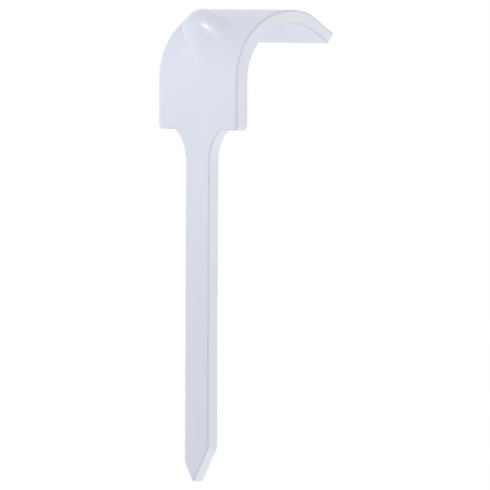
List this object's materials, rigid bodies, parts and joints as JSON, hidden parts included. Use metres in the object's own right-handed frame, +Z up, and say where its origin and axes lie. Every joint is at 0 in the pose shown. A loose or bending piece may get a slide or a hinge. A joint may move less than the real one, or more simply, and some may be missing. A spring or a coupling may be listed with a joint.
{
  "type": "nail-in cable clip",
  "caption": "One-piece plastic clip: a wide strap hooks over a cable, and a flat nail shank under a domed hammer pad is driven into wood to hold it down.",
  "frame": {"origin": "middle of the nail shank's section, level with the shoulders that seat on the surface", "axes": "+Z up, away from the surface and along the nail's axis; +X the way the hook reaches over the cable; Y along the cable"},
  "size_m": [0.0198, 0.0192, 0.0693],
  "materials": {
    "milky_plastic": "semi-gloss milky white injection moulding, slightly translucent"
  },
  "bodies": {
    "root": {"clip": "milky_plastic"}
  },
  "joints": []
}
